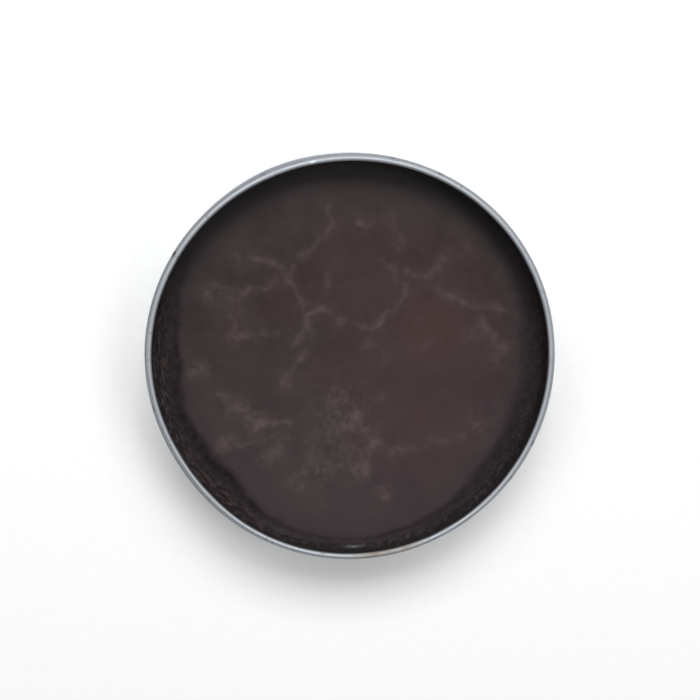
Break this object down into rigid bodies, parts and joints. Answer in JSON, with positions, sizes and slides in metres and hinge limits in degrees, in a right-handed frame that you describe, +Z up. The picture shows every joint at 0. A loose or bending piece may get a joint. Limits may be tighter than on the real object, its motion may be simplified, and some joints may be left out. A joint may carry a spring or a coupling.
{
  "type": "shoe polish tin",
  "caption": "Round tinplate tin of dark brown wax polish with a rolled rim, standing open in its own upturned press-on lid.",
  "frame": {"origin": "centre of the ring the upturned lid rests on, at the bottom of the part", "axes": "+Z up along the tin's axis, out of its mouth"},
  "size_m": [0.0856, 0.0856, 0.0252],
  "materials": {
    "base_tinplate": "bright tinplate, slightly dulled by handling",
    "lid_tinplate": "bright tinplate, plain inside and out",
    "polish": "smooth hard wax, dull, with fine paler veins",
    "dried_polish": "dried wax skin, flecked"
  },
  "bodies": {
    "lid": {"lid_shell": "lid_tinplate"},
    "tin": {"base_shell": "base_tinplate", "polish_cake": "polish", "polish_film": "dried_polish"}
  },
  "joints": [
    {"name": "tin_lift", "type": "slide", "parent": "lid", "child": "tin", "axis": [0, 0, 1], "range_m": [0, 0.03]}
  ]
}
